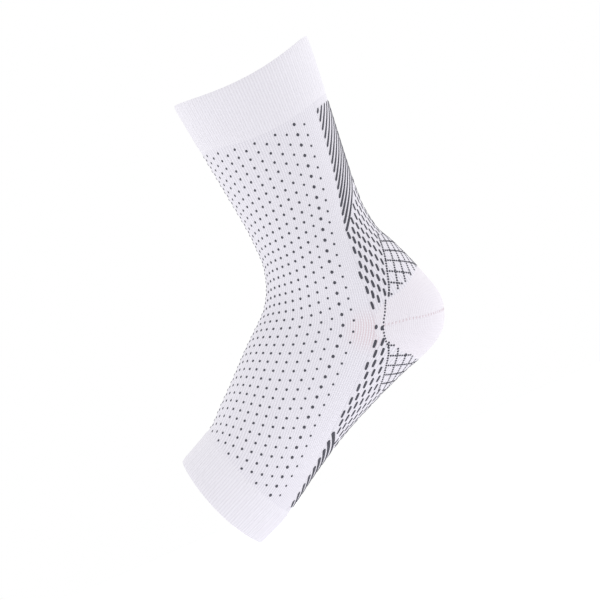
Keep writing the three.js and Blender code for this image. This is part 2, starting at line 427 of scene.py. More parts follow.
class MaterialGraph:
    """A node material, with one call that adds a node."""

    def __init__(self, name: str) -> None:
        """Starts an empty material with its output.

        Args:
            name: the material's name.
        """
        self.material = bpy.data.materials.new(name)
        self.material.use_nodes = True
        self.tree = self.material.node_tree
        self.tree.nodes.clear()
        self.output = self.add("ShaderNodeOutputMaterial")

    def add(self, kind: str, settings: dict[str, object] | None = None,
            inputs: dict[str | int, object] | None = None) -> bpy.types.Node:
        """Adds a node with its settings and its inputs.

        Args:
            kind: the node's type.
            settings: attributes of the node.
            inputs: for each socket, a value or the output socket that feeds it.

        Returns:
            The node.
        """
        node = self.tree.nodes.new(kind)
        for name, value in (settings or {}).items():
            setattr(node, name, value)
        for socket, value in (inputs or {}).items():
            if isinstance(value, bpy.types.NodeSocket):
                self.tree.links.new(value, node.inputs[socket])
            else:
                node.inputs[socket].default_value = value
        return node

    def math(self, operation: str, first: object, second: object = 0.0) -> bpy.types.NodeSocket:
        """The result of a calculation with one or two values."""
        return self.add("ShaderNodeMath", {"operation": operation}, {0: first, 1: second}).outputs[0]


@dataclass(frozen=True)
class KnitFinish:
    """Weft-knitted polyamide jersey, drawn by its wales and courses on the piece's UV map in millimetres.

    Wales are the columns of stitches, which show as fine grooves along the cloth, and courses the rows
    across them. The groove colour is painted shade: the tone down between two wales, darker than the
    yarn, as the shade that falls there.
    """

    name: str
    yarn_hex: str = "edebf2"
    # The painted shade down in the grooves, darker than the yarn
    groove_shade_hex: str = "d2cfd9"
    wale_mm: float = 1.5
    course_mm: float = 1.2
    course_share: float = 0.22
    bump_mm: float = 0.16
    warmth: float = 0.0
    stretch_shade_at_mm: tuple[float, float] | None = None
    stretch_shade_radius_mm: float = 17.0
    mottle: float = 0.12
    flush_hex: str = "eddde2"
    # The darker, warmer colour of the painted shade in the gaps of the knit stretched over the ankle
    stretch_gap_shade_hex: str = "dfc6cb"
    roughness: float = 0.85
    sheen: float = 0.25

    def build(self) -> bpy.types.Material:
        """Makes the material.

        Returns:
            The finished material.
        """
        graph = MaterialGraph(self.name)
        uv = graph.add("ShaderNodeUVMap", {"uv_map": "knit"})
        split = graph.add("ShaderNodeSeparateXYZ", inputs={0: uv.outputs[0]})
        across, along = split.outputs[0], split.outputs[1]
        # The two legs of a stitch lean together, so each wale's courses sag to a V at its middle
        wale_turn = graph.math("MULTIPLY", across, 2 * math.pi / self.wale_mm)
        wale = graph.math("ABSOLUTE", graph.math("SINE", graph.math("MULTIPLY", wale_turn, 0.5)))
        sag = graph.math("MULTIPLY", wale, 0.45)
        course_turn = graph.math("ADD", graph.math("DIVIDE", along, self.course_mm), sag)
        course = graph.math("SINE", graph.math("MULTIPLY", course_turn, 2 * math.pi))
        course_part = graph.math("MULTIPLY", graph.math("ADD", course, 1.0), self.course_share / 2)
        relief = graph.math("ADD", graph.math("MULTIPLY", wale, 1 - self.course_share), course_part)
        # Uneven yarn: patches a few millimetres wide are a touch lighter or darker
        coordinates = graph.add("ShaderNodeTexCoord")
        fuzz = graph.add("ShaderNodeTexNoise", inputs={
            "Vector": coordinates.outputs["Object"], "Scale": 0.4 / MM, "Detail": 3.0, "Roughness": 0.6,
        })
        from_mean = graph.math("SUBTRACT", fuzz.outputs[0], 0.5)
        shade = graph.math("ADD", relief, graph.math("MULTIPLY", from_mean, self.mottle))
        # Painted shade: the grooves between wales and courses are coloured darker than the yarn, by the
        # height of the relief, as the shade that falls in them
        base = graph.add("ShaderNodeMix", {"data_type": "RGBA"}, {
            0: shade, 6: linear_colour(self.groove_shade_hex), 7: linear_colour(self.yarn_hex),
        }).outputs[2]
        if self.warmth > 0:
            glow = graph.add("ShaderNodeTexNoise", inputs={
                "Vector": coordinates.outputs["Object"], "Scale": 0.02 / MM, "Detail": 1.0,
            })
            share = graph.math("MULTIPLY", glow.outputs[0], self.warmth)
            base = graph.add("ShaderNodeMix", {"data_type": "RGBA"}, {
                0: share, 6: base, 7: linear_colour(self.flush_hex),
            }).outputs[2]
        # Painted shade: round the ankle the grooves go darker and warmer, as the shade in the gaps of the
        # stretched knit
        if self.stretch_shade_at_mm:
            base = self._shade_stretched_gaps(graph, coordinates.outputs["Object"], relief, base)
        bump = graph.add("ShaderNodeBump", inputs={
            "Strength": 0.6, "Distance": self.bump_mm * MM, "Height": relief,
        })
        shader = graph.add("ShaderNodeBsdfPrincipled", inputs={
            "Base Color": base, "Roughness": self.roughness, "Normal": bump.outputs[0],
            "Sheen Weight": self.sheen, "Sheen Roughness": 0.5, "IOR": 1.45,
        })
        graph.tree.links.new(shader.outputs[0], graph.output.inputs[0])
        return graph.material

    def _shade_stretched_gaps(self, graph: MaterialGraph, place: bpy.types.NodeSocket, relief: bpy.types.NodeSocket,
                 base: bpy.types.NodeSocket) -> bpy.types.NodeSocket:
        """Paints shade into the grooves where the cloth is stretched thin over the ankle: there the gaps of
        the knit are coloured darker as painted shade, warmed by the tone of what lies under the cloth.

        Args:
            graph: the material.
            place: the object coordinates.
            relief: the height of the knit, from 0 in its grooves.
            base: the colour so far.

        Returns:
            The colour, with the painted shade darker and warmer in the stretched grooves.
        """
        split = graph.add("ShaderNodeSeparateXYZ", inputs={0: place})
        along = graph.math("SUBTRACT", split.outputs[0], self.stretch_shade_at_mm[0] * MM)
        above = graph.math("SUBTRACT", split.outputs[2], self.stretch_shade_at_mm[1] * MM)
        square = graph.math(
            "ADD", graph.math("MULTIPLY", along, along), graph.math("MULTIPLY", above, above)
        )
        distance = graph.math("DIVIDE", graph.math("SQRT", square), self.stretch_shade_radius_mm * MM)
        fade = graph.add("ShaderNodeMapRange", {"interpolation_type": "SMOOTHSTEP"}, {
            "Value": distance, "From Min": 0.2, "From Max": 1.0, "To Min": 1.0, "To Max": 0.0,
        })
        # Painted shade: the deeper the groove and the nearer the ankle, the more of the darker, warmer gap
        # colour
        share = graph.math("MULTIPLY", fade.outputs[0], graph.math("SUBTRACT", 0.9, relief))
        clear = graph.math("MINIMUM", graph.math("MAXIMUM", share, 0.0), 1.0)
        return graph.add("ShaderNodeMix", {"data_type": "RGBA"}, {
            0: clear, 6: base, 7: linear_colour(self.stretch_gap_shade_hex),
        }).outputs[2]


@dataclass(frozen=True)
class DarkYarnFinish:
    """Charcoal dyed polyamide yarn, matt and finely twisted, lying in the white ground."""

    name: str = "charcoal_polyamide_yarn"
    yarn_hex: str = "33333d"
    worn_hex: str = "5a5a64"
    fibre_mm: float = 0.5
    roughness: float = 0.8

    def build(self) -> bpy.types.Material:
        """Makes the material.

        Returns:
            The finished material.
        """
        graph = MaterialGraph(self.name)
        coordinates = graph.add("ShaderNodeTexCoord")
        fibre = graph.add("ShaderNodeTexNoise", inputs={
            "Vector": coordinates.outputs["Object"], "Scale": 1 / (self.fibre_mm * MM), "Detail": 2.0,
        })
        colour = graph.add("ShaderNodeMix", {"data_type": "RGBA"}, {
            0: fibre.outputs[0], 6: linear_colour(self.yarn_hex), 7: linear_colour(self.worn_hex),
        }).outputs[2]
        bump = graph.add("ShaderNodeBump", inputs={
            "Strength": 0.5, "Distance": 0.1 * MM, "Height": fibre.outputs[0],
        })
        shader = graph.add("ShaderNodeBsdfPrincipled", inputs={
            "Base Color": colour, "Roughness": self.roughness, "Normal": bump.outputs[0],
        })
        graph.tree.links.new(shader.outputs[0], graph.output.inputs[0])
        return graph.material


def bind(mesh_object: bpy.types.Object, material: bpy.types.Material, slot: str) -> None:
    """Gives a piece its material and rides it on the sock's body."""
    mesh_object.data.materials.append(material)
    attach(mesh_object, BODY)


def object_from(bm: bmesh.types.BMesh, name: str) -> bpy.types.Object:
    """Turns a bmesh into a smooth shaded object at the origin and frees it.

    Args:
        bm: the bmesh, which is freed.
        name: the object's name.

    Returns:
        The object, linked to the scene.
    """
    mesh = bpy.data.meshes.new(name)
    for face in bm.faces:
        face.smooth = True
    bm.to_mesh(mesh)
    bm.free()
    made = bpy.data.objects.new(name, mesh)
    bpy.context.scene.collection.objects.link(made)
    return made


Place = Callable[[np.ndarray, np.ndarray], tuple[np.ndarray, np.ndarray]]


@dataclass
class KnitZone:
    """A zone of the sock: a sheet bent to its surface, with a wall and raised ribs where it has them.

    place turns two shares, across and down the sheet, into a row and an angle. rib_mm is the spacing of
    the ribs and rib_height how far they stand out, both in millimetres.
    """

    name: str
    form: SockForm
    place: Place
    across_steps: int
    down_steps: int
    wall: float
    slot: str
    proud: float = 0.0
    rib_count: int = 0
    rib_height: float = 0.0
    rim_round: float = 0.0
    rim_at_end: bool = False
    lead_in: float = 0.12
    crease: float = 0.9

    def build(self, finish: bpy.types.Material) -> bpy.types.Object:
        """Builds and dresses the zone.

        Args:
            finish: the knit material.

        Returns:
            The zone's object.
        """
        bm = bmesh.new()
        bmesh.ops.create_grid(bm, x_segments=self.across_steps, y_segments=self.down_steps, size=0.5)
        flat = np.array([vertex.co for vertex in bm.verts])
        across, down = flat[:, 0] + 0.5, 0.5 - flat[:, 1]
        row, angle = self.place(across, down)
        points = self.form.lifted(row, angle, self._height(across, down))
        uv = self._knit_coordinates(across, down)
        layer = bm.loops.layers.uv.new("knit")
        for vertex, point in zip(bm.verts, points):
            vertex.co = point
        for face in bm.faces:
            for loop in face.loops:
                loop[layer].uv = uv[loop.vert.index]
        area = sum(face.calc_area() for face in bm.faces)
        bmesh.ops.remove_doubles(bm, verts=bm.verts, dist=0.01 * MM)
        bmesh.ops.solidify(bm, geom=bm.faces[:], thickness=self.wall * MM)
        bm.normal_update()
        for edge in bm.edges:
            edge.smooth = edge.calc_face_angle(0.0) < self.crease
        made = object_from(bm, self.name)
        bind(made, finish, self.slot)
        LOG.info("%s: %d faces", self.name, len(made.data.polygons))
        return made

    def _height(self, across: np.ndarray, down: np.ndarray) -> np.ndarray:
        """How far the cloth stands out.

        Args:
            across: shares across the sheet.
            down: shares down it.

        Returns:
            The height over the form at each place, in millimetres.
        """
        height = np.full_like(across, self.proud)
        if self.rib_count:
            rib = np.abs(np.cos(math.pi * self.rib_count * across))
            height += self.rib_height * (rib - 0.5)
            from_seam = down if self.rim_at_end else 1 - down
            height *= np.clip(from_seam / self.lead_in, 0, 1)
        if self.rim_round:
            from_rim = (1 - down) if self.rim_at_end else down
            height -= self.rim_round * np.clip(1 - from_rim / 0.12, 0, 1) ** 2
        return height

    def _knit_coordinates(self, across: np.ndarray, down: np.ndarray) -> np.ndarray:
        """Measures the cloth across the wales and along them, for the knit's UV map.

        Args:
            across: shares across the sheet.
            down: shares down it.

        Returns:
            Two distances in millimetres for each place.
        """
        samples = np.linspace(0, 1, 81)
        middle_row, middle_angle = self.place(samples, np.full_like(samples, 0.5))
        width = np.linalg.norm(np.diff(self.form.point(middle_row, middle_angle), axis=0), axis=1)
        side_row, side_angle = self.place(np.full_like(samples, 0.25), samples)
        length = np.linalg.norm(np.diff(self.form.point(side_row, side_angle), axis=0), axis=1)
        wales = np.interp(across, samples, np.concatenate([[0], np.cumsum(width)]))
        courses = np.interp(down, samples, np.concatenate([[0], np.cumsum(length)]))
        return np.stack([wales, courses], axis=-1)


@dataclass
class YarnMark:
    """One float of dark yarn on the surface: its place, its half length and half width and its lean.

    lean is the angle from the wale, in radians, and height how far it stands out. Lengths are in
    millimetres.
    """

    row: float
    angle: float
    half_length: float
    half_width: float
    lean: float = 0.0
    height: float = 0.3


@dataclass
class YarnLine:
    """A long float of dark yarn: places along it, and its half width at its start and at its end."""

    rows: np.ndarray
    angles: np.ndarray
    start_width: float
    end_width: float


class YarnField:
    """Dark yarn on one zone: small floats and long ones, made as one mesh bent to the surface."""

    def __init__(self, name: str, form: SockForm, slot: str, sides: int = 8, rings: int = 5,
                 blunt: bool = False) -> None:
        """Starts an empty field.

        Args:
            name: the piece's name.
            form: the sock's surface.
            slot: the record's material slot; not used.
            sides: faces round each small float.
            rings: bands of faces from the top to the bottom of each small float.
            blunt: whether the small floats have square ends.
        """
        self.name = name
        self.form = form
        self.slot = slot
        self.sides = sides
        self.rings = rings
        self.blunt = blunt
        self.marks: list[YarnMark] = []
        self.lines: list[YarnLine] = []

    def build(self, material: bpy.types.Material) -> bpy.types.Object:
        """Makes the mesh of all the floats.

        Args:
            material: the yarn.

        Returns:
            The field's object.
        """
        bm = bmesh.new()
        if self.marks:
            self._add_marks(bm)
        for line in self.lines:
            self._add_line(bm, line)
        made = object_from(bm, self.name)
        bind(made, material, self.slot)
        LOG.info("%s: %d small floats, %d long ones", self.name, len(self.marks), len(self.lines))
        return made

    def _add_marks(self, bm: bmesh.types.BMesh) -> None:
        """Adds every small float to a mesh, as one ball each that is stretched and bent.

        Args:
            bm: the mesh.
        """
        seed = bmesh.new()
        bmesh.ops.create_uvsphere(seed, u_segments=self.sides, v_segments=self.rings, radius=1.0)
        template = bpy.data.meshes.new(self.name + "_float")
        seed.to_mesh(template)
        unit = np.array([vertex.co for vertex in seed.verts])
        seed.free()
        for _ in self.marks:
            bm.from_mesh(template)
        bpy.data.meshes.remove(template)
        for vertex, point in zip(bm.verts, self._bent(unit)):
            vertex.co = point

    def _bent(self, unit: np.ndarray) -> np.ndarray:
        """The vertices of every small float on the sock's surface, in metres.

        Args:
            unit: the vertices of a ball of radius 1, with x across and y along the float.

        Returns:
            The points, float after float.
        """
        values = np.array([
            (one.row, one.angle, one.half_length, one.half_width, one.lean, one.height) for one in self.marks
        ])
        row, angle, half_length, half_width, lean, height = (values[:, index, None] for index in range(6))
        blunt = self._blunted(unit)
        across = blunt[None, :, 0] * half_width
        along = blunt[None, :, 1] * half_length
        turned_across = across * np.cos(lean) - along * np.sin(lean)
        turned_along = across * np.sin(lean) + along * np.cos(lean)
        rows, angles = self.form.moved(row, angle, turned_along, turned_across)
        heights = unit[None, :, 2] * height
        return self.form.lifted(rows.ravel(), angles.ravel(), heights.ravel())

    def _blunted(self, unit: np.ndarray) -> np.ndarray:
        """Squares the outline of the small floats off where the field is blunt.

        Args:
            unit: the vertices of a ball of radius 1.

        Returns:
            The vertices, moved outwards at the corners.
        """
        if not self.blunt:
            return unit
        spread = np.maximum(np.hypot(unit[:, 0], unit[:, 1]), 1e-6)
        fourth = (unit[:, 0] / spread)**4 + (unit[:, 1] / spread)**4
        squared = unit.copy()
        squared[:, :2] /= (np.maximum(fourth, 0.5)**0.25)[:, None]
        return squared

    def _add_line(self, bm: bmesh.types.BMesh, line: YarnLine) -> None:
        """Adds a long float, as a sheet rolled to a tube that narrows to a point at both ends.

        Args:
            bm: the mesh.
            line: the long float.
        """
        steps = len(line.rows) - 1
        grid = bmesh.ops.create_grid(bm, x_segments=6, y_segments=steps, size=0.5)["verts"]
        flat = np.array([vertex.co for vertex in grid])
        turn, share = (flat[:, 0] + 0.5) * 2 * math.pi, flat[:, 1] + 0.5
        samples = np.linspace(0, 1, steps + 1)
        row, angle = np.interp(share, samples, line.rows), np.interp(share, samples, line.angles)
        row_mm, radian_mm, cosine, _ = self.form.frame_at(row, angle)
        sine = np.sqrt(1 - cosine**2)
        row_slope = np.gradient(line.rows, samples)
        angle_slope = np.gradient(line.angles, samples)
        forward = np.interp(share, samples, row_slope) * row_mm
        sideways = np.interp(share, samples, angle_slope) * radian_mm
        forward, sideways = forward + sideways * cosine, sideways * sine
        length = np.hypot(forward, sideways)
        taper = np.sqrt(np.clip(np.minimum(share, 1 - share) * length.mean() / 1.2, 0, 1))
        width = mix(line.start_width, line.end_width, share) * taper * np.cos(turn)
        rows, angles = self.form.moved(row, angle, -width * sideways / length, width * forward / length)
        points = self.form.lifted(rows, angles, 0.3 * taper * np.sin(turn))
        for vertex, point in zip(grid, points):
            vertex.co = point
        bmesh.ops.remove_doubles(bm, verts=grid, dist=0.002 * MM)


@dataclass
class DotPanel:
    """The dotted front: columns of small dark dots down the wales, each half a step from its neighbour."""

    form: SockForm
    columns: int = 13
    last_share: float = 0.875
    toe_share: float = 0.835
    pitch: float = 6.6
    first_share: float = 0.6
    last_gap: float = 0.35
    dot_radius: float = 0.86
    big_radius: float = 1.08
    small_radius: float = 0.78

    def radius(self, column: int) -> float:
        """The radius of a column's dots.

        Args:
            column: the column's number from the middle of the front.

        Returns:
            The radius in millimetres.
        """
        if column == self.columns - 1:
            return self.big_radius
        if column in (self.columns, self.columns - 2):
            return self.small_radius
        return self.dot_radius

    def build(self, material: bpy.types.Material) -> bpy.types.Object:
        """Lays the dots and makes their mesh.

        Args:
            material: the dark yarn.

        Returns:
            The dots' object.
        """
        dots = YarnField("front_dots", self.form, "dotted_knit")
        longest = self._wale(self.columns - 1)[2][-1]
        count = round(longest / self.pitch)
        for column in range(-self.columns, self.columns + 1):
            rows, angles, lengths = self._wale(column)
            first = self.first_share + (0.5 if column % 2 else 0.0)
            radius = self.radius(abs(column))
            for number in np.arange(first, count - self.last_gap, 1.0):
                length = number / count * lengths[-1]
                row, angle = (float(np.interp(length, lengths, values)) for values in (rows, angles))
                dots.marks.append(YarnMark(row, angle, radius * 1.05, radius))
        return dots.build(material)

    def _wale(self, column: int) -> tuple[np.ndarray, np.ndarray, np.ndarray]:
        """The line that a column of dots follows, from the cuff to the toe band.

        Args:
            column: its number from the middle of the front.

        Returns:
            Rows, angles and the length to each place in millimetres.
        """
        down = np.linspace(0, 1, 500)
        pivot = self.form.down_of(self.form.pivot_row)
        foot = np.clip((down - pivot) / (1 - pivot), 0, 1)
        share = mix(self.last_share, self.toe_share, foot) * column / self.columns
        angles = share * self.form.body_edge(down)
        rows = self.form.body_row(down, angles)
        return rows, angles, self.form.path_lengths(rows, angles)


@dataclass
class BackPattern:
    """The dark pattern of the panel behind the leg or under the foot, the same on both sides.

    Long bars start at the panel's edge at one end of it. Then columns of dashes follow, and a net of
    fine dotted lines round the middle. The columns keep a straight course while the panel's edge bends
    away, so drift holds how far the edge has moved across them, in millimetres, at some rows.
    """

    name: str
    form: SockForm
    edge_rows: tuple[float, ...]
    drift: tuple[float, ...]
    bar_rows: tuple[float, float]
    dash_rows: tuple[float, float]
    bar_heading: float
    bar_pitch: float = 5.3
    bar_climb: tuple[float, float] = (52.0, 36.0)
    bar_width: float = 0.82
    bar_end_width: float = 0.42
    column_pitch: float = 3.55
    dash_pitch: float = 6.5
    dash_half_length: float = 2.75
    dash_half_width: float = 0.92
    dash_lean: float = -0.33
    net_start: float = 27.5
    net_rows: tuple[float, float] = (5.4, 10.2)
    net_reach: float = 34.0
    net_wale: float = 5.6
    net_course: float = 7.2
    net_tilt: float = 0.011
    bead_pitch: float = 1.7
    bead_radius: float = 0.76
    bead_height: float = 0.28
    anchor_row: float = 7.0
    edge_gap: float = 0.6
    row_lengths: tuple[np.ndarray, np.ndarray] | None = field(init=False, default=None)

    def build(self, material: bpy.types.Material) -> list[bpy.types.Object]:
        """Lays and makes the bars, the dashes and the net.

        Args:
            material: the dark yarn.

        Returns:
            The three objects.
        """
        bars = YarnField(self.name + "_bars", self.form, "barred_knit")
        dashes = YarnField(self.name + "_dashes", self.form, "barred_knit", blunt=True)
        net = YarnField(self.name + "_net", self.form, "barred_knit", 6, 4)
        for side in Side:
            self._lay_bars(bars, side)
            self._lay_dashes(dashes, side)
            self._lay_net(net, side)
        return [one.build(material) for one in (bars, dashes, net) if one.marks or one.lines]

    def _lengths(self) -> tuple[np.ndarray, np.ndarray]:
        """Rows and the length down the back part of the side to each of them.

        Returns:
            The rows and the lengths in millimetres.
        """
        rows = np.linspace(0, self.form.rim_row, 500)
        return rows, self.form.path_lengths(rows, np.full_like(rows, 2.4))

    def _column(self, place: float) -> tuple[np.ndarray, np.ndarray, np.ndarray]:
        """The line that a column of the pattern follows.

        Args:
            place: its distance across the columns, in millimetres.

        Returns:
            Rows, angles, and lengths in millimetres from the anchor row.
        """
        rows = np.linspace(*self.dash_rows, 150)
        past_edge = place - self._drift_at(rows)
        angles = np.array([self.form.angle_past_edge(row, past) for row, past in zip(rows, past_edge)])
        lengths = self.form.path_lengths(rows, np.minimum(angles, math.pi))
        lengths -= np.interp(self.anchor_row, rows, lengths)
        on_panel = (past_edge > self.edge_gap) & np.isfinite(angles)
        return rows[on_panel], angles[on_panel], lengths[on_panel]

    def _lay_bars(self, bars: YarnField, side: Side) -> None:
        """Lays the bars, which lean from the panel's edge towards the middle.

        Args:
            bars: the field that takes them.
            side: the side of the foot.
        """
        rows, lengths = self._lengths()
        first, last = (float(np.interp(row, rows, lengths)) for row in self.bar_rows)
        for start in np.arange(first, last, self.bar_pitch):
            climb = mix(*self.bar_climb, (start - first) / (last - first))
            start_row = float(np.interp(start, lengths, rows))
            start_angle = float(self.form.edge_angle(np.array(start_row))) + 0.02
            travel = np.linspace(0, (math.pi - start_angle) * climb, 40)
            path = np.interp(start + self.bar_heading * travel, lengths, rows)
            angles = start_angle + travel / climb
            low = self.form.cuff_edge_row(angles) + 0.1
            high = self.form.toe_edge_row(angles) - 0.12
            inside = np.cumprod((path > low) & (path < high)).astype(bool)
            if inside.sum() < 3:
                continue
            share = travel[inside][-1] / travel[-1]
            end_width = mix(self.bar_width, self.bar_end_width, share)
            bars.lines.append(YarnLine(
                path[inside], angles[inside] * side.value, self.bar_width, end_width,
            ))

    def _drift_at(self, row: np.ndarray) -> np.ndarray:
        """How far the panel's edge has moved across the columns.

        Args:
            row: rows.

        Returns:
            Millimetres.
        """
        return np.interp(row, self.edge_rows, self.drift)

    def _free(self, row: float, angle: float) -> bool:
        """Tells whether a place lies in the dashed and netted part of the panel.

        Args:
            row: the place's row.
            angle: its angle on the near side.

        Returns:
            True if it is past the last bar and clear of the heel cup.
        """
        rows, lengths = self.row_lengths
        here = float(np.interp(row, rows, lengths))
        last = 1 if self.bar_heading < 0 else 0
        bar_row, climb = self.bar_rows[last], self.bar_climb[last]
        bar_angle = float(self.form.edge_angle(np.array(bar_row)))
        bar = float(np.interp(bar_row, rows, lengths)) + self.bar_heading * (angle - bar_angle) * climb
        past_bars = (here - bar) * -self.bar_heading > 2.5
        edge = float(self.form.edge_angle(np.array(row)))
        side_share = min(1.0, max(0.0, (math.pi - angle) / (math.pi - edge)))
        turn = np.array(math.asin(side_share))
        down = self.form.down_of(row)
        if self.bar_heading < 0:
            return past_bars and down < float(self.form.heel_down(self.form.heel_top_row, turn)) - 0.001
        return past_bars and down > float(self.form.heel_down(self.form.heel_sole_row, turn)) + 0.001

    def _leans(self, rows: np.ndarray, angles: np.ndarray) -> np.ndarray:
        """How far a column leans from the wale at each of its places.

        Args:
            rows: the column's rows.
            angles: its angles.

        Returns:
            Leans in radians.
        """
        row_mm, radian_mm, cosine, _ = self.form.frame_at(rows, angles)
        forward, sideways = np.gradient(rows) * row_mm, np.gradient(angles) * radian_mm
        return np.arctan2(-sideways * np.sqrt(1 - cosine**2), forward + sideways * cosine)

    def _in_net(self, row: float, place: float) -> bool:
        """Tells whether a place lies in the net rather than among the dashes."""
        return place >= self.net_start and self.net_rows[0] <= row <= self.net_rows[1]

    def _lay_dashes(self, dashes: YarnField, side: Side) -> None:
        """Lays the columns of dashes.

        Args:
            dashes: the field that takes them.
            side: the side of the foot.
        """
        self.row_lengths = self._lengths()
        lowest = int(min(self.drift) / self.column_pitch) - 1
        highest = int((self.net_start + self.net_reach) / self.column_pitch)
        for column in range(lowest, highest + 1):
            place = column * self.column_pitch
            rows, angles, lengths = self._column(place)
            if len(rows) < 2:
                continue
            leans = self._leans(rows, angles)
            offset = 0.5 if column % 2 else 0.0
            first = math.ceil(lengths[0] / self.dash_pitch - offset)
            last = math.floor(lengths[-1] / self.dash_pitch - offset)
            for number in range(first, last + 1):
                length = (number + offset) * self.dash_pitch
                row, angle = (float(np.interp(length, lengths, values)) for values in (rows, angles))
                if self._in_net(row, place) or not self._free(row, angle):
                    continue
                past_edge = place - float(self._drift_at(np.array(row)))
                shrink = mix(1.0, 0.68, min(1.0, past_edge / 25))
                lean = self.dash_lean + float(np.interp(length, lengths, leans))
                dashes.marks.append(YarnMark(
                    row, angle * side.value, self.dash_half_length * mix(1.0, shrink, 0.5),
                    self.dash_half_width * shrink, lean * side.value,
                ))

    def _lay_net(self, net: YarnField, side: Side) -> None:
        """Lays the net: lines of beads along the wales and across them.

        Args:
            net: the field that takes them.
            side: the side of the foot.
        """
        for place in np.arange(self.net_start, self.net_start + self.net_reach, self.net_wale):
            rows, angles, lengths = self._column(place)
            if len(rows) < 2:
                continue
            for length in np.arange(lengths[0], lengths[-1], self.bead_pitch):
                row, angle = (float(np.interp(length, lengths, values)) for values in (rows, angles))
                self._bead(net, row, angle, place, side)
        rows, _, lengths = self._column(self.net_start)
        for length in np.arange(lengths[0], lengths[-1], self.net_course):
            first_row = float(np.interp(length, lengths, rows))
            for place in np.arange(self.net_start, self.net_start + self.net_reach, self.bead_pitch):
                row = first_row - self.bar_heading * self.net_tilt * (place - self.net_start)
                drift = float(self._drift_at(np.array(row)))
                self._bead(net, row, self.form.angle_past_edge(row, place - drift), place, side)

    def _bead(self, net: YarnField, row: float, angle: float, place: float, side: Side) -> None:
        """Lays one bead of the net if its place is free.

        Args:
            net: the field that takes it.
            row: its row.
            angle: its angle on the near side.
            place: its distance across the columns, in millimetres.
            side: the side of the foot.
        """
        if math.isinf(angle) or not self._in_net(row, place) or not self._free(row, angle):
            return
        net.marks.append(YarnMark(
            row, angle * side.value, self.bead_radius, self.bead_radius, 0.0, self.bead_height,
        ))


@dataclass
class GoreSeam:
    """The stitched gore line across each side of the heel cup, with dark knots where its edges meet."""

    form: SockForm
    rows: tuple[float, ...] = (10.02, 9.62, 9.28, 9.12)
    degrees: tuple[float, ...] = (110.0, 126.5, 154.2, 172.0)
    stitch_pitch: float = 2.3
    stitch_half_length: float = 0.95
    stitch_half_width: float = 0.38
    stitch_height: float = 0.22
    knot_half_length: float = 1.6
    knot_half_width: float = 1.05
    knot_lean: float = 0.2
    knot_rows: tuple[float, ...] = (10.19, 10.21)
    knot_degrees: tuple[float, ...] = (105.0, 109.0)
    chain_rows: tuple[float, ...] = (8.72, 9.05, 9.42, 9.79, 10.21, 10.56, 10.84, 11.1)
    chain_degrees: tuple[float, ...] = (109.6, 108.8, 108.5, 108.2, 109.6, 113.0, 117.0, 122.0)
    chain_steps: int = 16

    def build(self, thread: bpy.types.Material, dark: bpy.types.Material) -> list[bpy.types.Object]:
        """Lays the stitches and the knots.

        Args:
            thread: the pale thread of the gore.
            dark: the dark yarn of the knots.

        Returns:
            Both objects.
        """
        stitches = YarnField("gore_stitches", self.form, "plain_knit", 6, 4)
        knots = YarnField("gore_knots", self.form, "barred_knit")
        share = np.linspace(0, 1, 200)
        rows = np.interp(share, np.linspace(0, 1, len(self.rows)), self.rows)
        angles = np.radians(np.interp(share, np.linspace(0, 1, len(self.degrees)), self.degrees))
        steps = np.linalg.norm(np.diff(self.form.point(rows, angles), axis=0), axis=1)
        lengths = np.concatenate([[0.0], np.cumsum(steps)])
        for side in Side:
            for length in np.arange(0, lengths[-1], self.stitch_pitch):
                row, angle = (float(np.interp(length, lengths, values)) for values in (rows, angles))
                stitches.marks.append(YarnMark(
                    row, angle * side.value, self.stitch_half_length, self.stitch_half_width, 0.0,
                    self.stitch_height,
                ))
            for row, degrees in zip(self.knot_rows, self.knot_degrees):
                knots.marks.append(YarnMark(
                    row, math.radians(degrees) * side.value, self.knot_half_length, self.knot_half_width,
                    -self.knot_lean * side.value,
                ))
            known = np.linspace(0, 1, len(self.chain_rows))
            for share in np.linspace(0, 1, self.chain_steps):
                row = float(np.interp(share, known, self.chain_rows))
                angle = math.radians(float(np.interp(share, known, self.chain_degrees))) * side.value
                knots.marks.append(YarnMark(row, angle, 0.75, 0.6, 0.0, 0.3))
        return [stitches.build(thread), knots.build(dark)]


